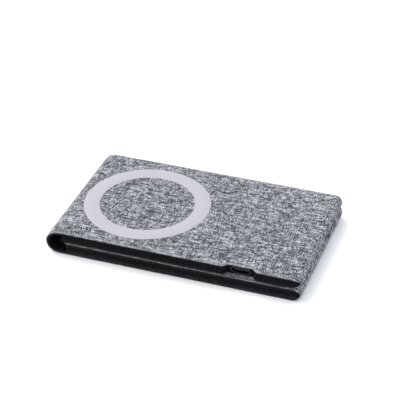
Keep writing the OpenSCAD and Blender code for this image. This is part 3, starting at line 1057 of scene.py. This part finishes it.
class PAD_OT_spine_lining(bpy.types.Operator):
    """Spin the black lining inside the spine and add its flat roots"""

    bl_idname = "pad.spine_lining"
    bl_label = "Spine Lining"

    def execute(self, context):
        sizes = context.scene.pad_sizes
        lining = materials["black_lining"]
        strips = []
        for number in range(len(spine.links)):
            strip = self.profile(f"lining_strip_{number + 1}", sizes)
            axis = (spine.axis_x, 0.0, spine.radius)
            self.turn_to(strip, number * spine.stretch)
            bpy.ops.mesh.spin(steps=12, angle=-spine.stretch, center=axis, axis=(0.0, 1.0, 0.0))
            tidy_mesh()
            bulge(sizes)
            finish_piece(strip, None, "black_lining", lining)
            smooth(strip)
            strips.append(strip)
        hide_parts("spine_lining_1", "spine_lining_2")
        bend_strips(strips)
        for body, flip in (("base", False), ("cover", True)):
            self.root(body, flip, sizes, lining)
        return {"FINISHED"}

    def profile(self, name, sizes):
        """Cross-section of the lining at the spine's lowest line, with rounded corners."""
        bpy.ops.mesh.primitive_plane_add(size=1.0, rotation=(0.0, math.pi / 2, 0.0))
        bpy.ops.object.transform_apply(location=True, rotation=True, scale=True)
        piece = named(name)
        scale(y=2 * (spine.half_width - SIDE_GAP), z=sizes.lining_thickness)
        move(spine.axis_x, 0.0, sizes.cloth_thickness + sizes.lining_thickness / 2 + CLOTH_GAP)
        bpy.ops.mesh.bevel(offset=LINING_CORNER, segments=4, affect="VERTICES")
        bpy.ops.mesh.select_all(action="SELECT")
        return piece

    def turn_to(self, piece, angle):
        """Turns the cross-section round the spine's axis."""
        let_go()
        axis = Matrix.Translation((spine.axis_x, 0.0, spine.radius))
        piece.data.transform(axis @ Matrix.Rotation(angle, 4, "Y") @ axis.inverted())
        edit(piece)

    def root(self, body, flip, sizes, lining):
        """Flat root of the lining between the spine and a leaf."""
        piece = self.profile(body + "_lining", sizes)
        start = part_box(body + "_inner_fabric")[0].x
        extrude(x=start - spine.axis_x - WALL_GAP)
        if flip:
            bpy.ops.mesh.select_all(action="SELECT")
            scale(z=-1.0, about=(0.0, 0.0, spine.radius))
        tidy_mesh()
        finish_piece(piece, body, "black_lining", lining, replaces=[body + "_hinge_lining"])
        smooth(piece)


class PAD_OT_ring(bpy.types.Operator):
    """Model the printed ring on the cover"""

    bl_idname = "pad.ring"
    bl_label = "Charging Ring"

    def execute(self, context):
        low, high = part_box("charging_ring")
        centre_x = (low.x + high.x) / 2
        points = [vertex.co for vertex in nodes["charging_ring"].data.vertices]
        reach = max(point.x - centre_x for point in points)
        hole = min(math.hypot(point.x - centre_x, point.y) for point in points)
        bpy.ops.mesh.primitive_circle_add(
            vertices=144, radius=reach, fill_type="NGON", location=(centre_x, 0.0, low.z),
        )
        bpy.ops.object.transform_apply(location=True, rotation=True, scale=True)
        ring = named("ring_print")
        bpy.ops.mesh.select_mode(type="FACE")
        bpy.ops.mesh.inset(thickness=reach - hole)
        bpy.ops.mesh.delete(type="FACE")
        bpy.ops.mesh.select_all(action="SELECT")
        extrude(z=high.z - low.z)
        tidy_mesh()

        def is_top_edge(edge):
            return all(v.co.z > high.z - NEAR for v in edge.verts) and edge.calc_face_angle(0.0) > 1.0

        pick(ring, "EDGE", is_top_edge)
        bpy.ops.mesh.bevel(offset=0.4 * (high.z - low.z), segments=3)
        tidy_mesh()
        finish_piece(ring, "cover", "ring_film", materials["ring_film"], replaces=["charging_ring"])
        smooth(ring)
        return {"FINISHED"}


def soften_copy(node, name, width):
    """A copy of one of the frame's pieces with its sharp edges taken off."""
    source = nodes[node]
    copy = bpy.data.objects.new(name, source.data.copy())
    copy.data.name = name
    bpy.context.scene.collection.objects.link(copy)
    edit(copy)
    tidy_mesh()
    bpy.ops.mesh.dissolve_limited(angle_limit=math.radians(1.0))
    let_go()
    modify(copy, "BEVEL", width=width, segments=3, limit_method="ANGLE", angle_limit=math.radians(40.0))
    smooth(copy)
    return copy


class PAD_OT_port(bpy.types.Operator):
    """Model the port's black surround and the contacts on its tongue"""

    bl_idname = "pad.port"
    bl_label = "Port"

    def execute(self, context):
        surround = soften_copy("port_bezel", "port_surround", 0.12 * MM)
        finish_piece(surround, "cover", "bezel_plastic", materials["bezel_plastic"], replaces=["port_bezel"])
        self.contacts()
        return {"FINISHED"}

    def contacts(self):
        """Twelve gilt contacts on each side of the tongue."""
        gilt = metal("contact_gilt", [0.85, 0.62, 0.26], 0.25, stretch=(1.0, 12.0, 1.0))
        shell_low, shell_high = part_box("usb_c_shell")
        centre_x = (shell_low.x + shell_high.x) / 2
        centre_z = (shell_low.z + shell_high.z) / 2
        count, pitch, half_tongue = 12, 0.5 * MM, 0.35 * MM
        wide, long_way, thick = 0.26 * MM, 2.6 * MM, 0.05 * MM
        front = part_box("usb_c_tongue")[0].y + 0.4 * MM
        parts = []
        for side in (-1.0, 1.0):
            for number in range(count):
                bpy.ops.mesh.primitive_cube_add(size=1.0)
                part = named("port_contacts")
                scale(wide, long_way, thick)
                move(
                    centre_x + (number - (count - 1) / 2) * pitch, front + long_way / 2,
                    centre_z + side * (half_tongue + thick / 2),
                )
                bpy.ops.mesh.bevel(offset=0.2 * thick, segments=2)
                let_go()
                parts.append(part)
        for part in parts:
            part.select_set(True)
        bpy.context.view_layer.objects.active = parts[0]
        bpy.ops.object.join()
        piece = bpy.context.active_object
        piece.name = "port_contacts"
        finish_piece(piece, "cover", "socket_steel", gilt)
        smooth(piece)


class PAD_OT_declare(bpy.types.Operator):
    """Does nothing; each outer cloth's cut length is written when its leaf is skinned"""

    bl_idname = "pad.declare"
    bl_label = "Declare Cloths"

    def execute(self, context):
        return {"FINISHED"}


class PAD_OT_stage(bpy.types.Operator):
    """Set up the pale floor, the soft lights and the camera"""

    bl_idname = "pad.stage"
    bl_label = "Stage"

    def execute(self, context):
        self.floor()
        self.world(context.scene)
        self.lights()
        self.camera(context.scene)
        context.scene.view_settings.view_transform = "Standard"
        return {"FINISHED"}

    def floor(self):
        bpy.ops.mesh.primitive_plane_add(size=6.0)
        floor = named("floor")
        let_go()
        paint = Paint("pale_floor", roughness=0.75, specular=0.2)
        paint.set("Base Color", [0.93, 0.93, 0.93])
        dress(floor, paint.material)

    def world(self, scene):
        world = bpy.data.worlds.new("pale_room")
        scene.world = world
        world.use_nodes = True
        tree = world.node_tree
        background = tree.nodes["Background"]
        direction = tree.nodes.new("ShaderNodeTexCoord")
        turn = tree.nodes.new("ShaderNodeMapping")
        tilt = -0.6  # about Y, in radians: the bright end of the sky is at the upper left
        half = 0.5  # brings directions from -1 to 1 into the gradient's 0 to 1
        settings = {"Location": (half, 0.0, 0.0), "Scale": (half,) * 3, "Rotation": (0.0, tilt, 0.0)}
        for name, value in settings.items():
            turn.inputs[name].default_value = value
        fade = tree.nodes.new("ShaderNodeTexGradient")
        ramp = tree.nodes.new("ShaderNodeValToRGB")
        for element, shade in zip(ramp.color_ramp.elements, ((1.35, 1.36, 1.38), (0.30, 0.34, 0.42))):
            element.color = (*shade, 1.0)
        chain = (direction, "Generated"), (turn, "Vector"), (fade, "Color"), (ramp, "Color")
        ends = (turn, "Vector"), (fade, "Vector"), (ramp, "Fac"), (background, "Color")
        for (source, out), (target, into) in zip(chain, ends):
            tree.links.new(source.outputs[out], target.inputs[into])
        background.inputs["Strength"].default_value = 1.30

    def lights(self):
        soft_box(energy=8.0, size=0.9, place=(-0.75, 0.35, 1.20), shade=(1.0, 0.99, 0.97))

    def camera(self, scene):
        azimuth, elevation, roll = (math.radians(value) for value in (19.559, 33.111, -0.21))
        distance, aside, above = 0.74911, 0.001198, 0.015689
        level_share = math.cos(elevation)
        back = Vector((
            math.sin(azimuth) * level_share, -math.cos(azimuth) * level_share, math.sin(elevation),
        ))
        level = Vector((0.0, 0.0, 1.0)).cross(back).normalized()
        upright = back.cross(level)
        right = level * math.cos(roll) + upright * math.sin(roll)
        up = upright * math.cos(roll) - level * math.sin(roll)
        turned = Matrix((right, up, back)).transposed()
        place = back * distance + right * aside + up * above
        bpy.ops.object.camera_add(location=place, rotation=turned.to_euler())
        camera = bpy.context.active_object
        camera.data.sensor_width = 36.0
        camera.data.lens = 143.12
        camera.data.clip_start = 0.01
        scene.camera = camera


def soft_box(energy, size, place, shade):
    """A square light that looks at the pad."""
    aim = -Vector(place)
    bpy.ops.object.light_add(type="AREA", location=place, rotation=aim.to_track_quat("-Z", "Y").to_euler())
    light = bpy.context.active_object
    light.data.energy = energy
    light.data.size = size
    light.data.color = shade


class PAD_PT_panel(bpy.types.Panel):
    """Charging pad tools"""

    bl_idname = "PAD_PT_panel"
    bl_label = "Charging Pad"
    bl_space_type = "VIEW_3D"
    bl_region_type = "UI"
    bl_category = "Charging Pad"

    def draw(self, context):
        for group in (context.scene.pad_sizes, context.scene.pad_colours):
            box = self.layout.box()
            for name in group.__annotations__:
                box.prop(group, name)
        for step in STEPS:
            self.layout.operator(step.bl_idname)


GROUPS = (PadSizes, PadColours)
STEPS = (
    PAD_OT_materials, PAD_OT_leaf_skins, PAD_OT_spine_cloth, PAD_OT_spine_lining,
    PAD_OT_ring, PAD_OT_port, PAD_OT_declare, PAD_OT_stage,
)


def register():
    for item in (*GROUPS, *STEPS, PAD_PT_panel):
        bpy.utils.register_class(item)
    bpy.types.Scene.pad_sizes = bpy.props.PointerProperty(type=PadSizes)
    bpy.types.Scene.pad_colours = bpy.props.PointerProperty(type=PadColours)


def unregister():
    del bpy.types.Scene.pad_colours
    del bpy.types.Scene.pad_sizes
    for item in reversed((*GROUPS, *STEPS, PAD_PT_panel)):
        bpy.utils.unregister_class(item)


def main():
    register()
    let_go()
    for step in STEPS:
        getattr(bpy.ops.pad, step.bl_idname.removeprefix("pad."))()


if __name__ == "__main__":
    main()
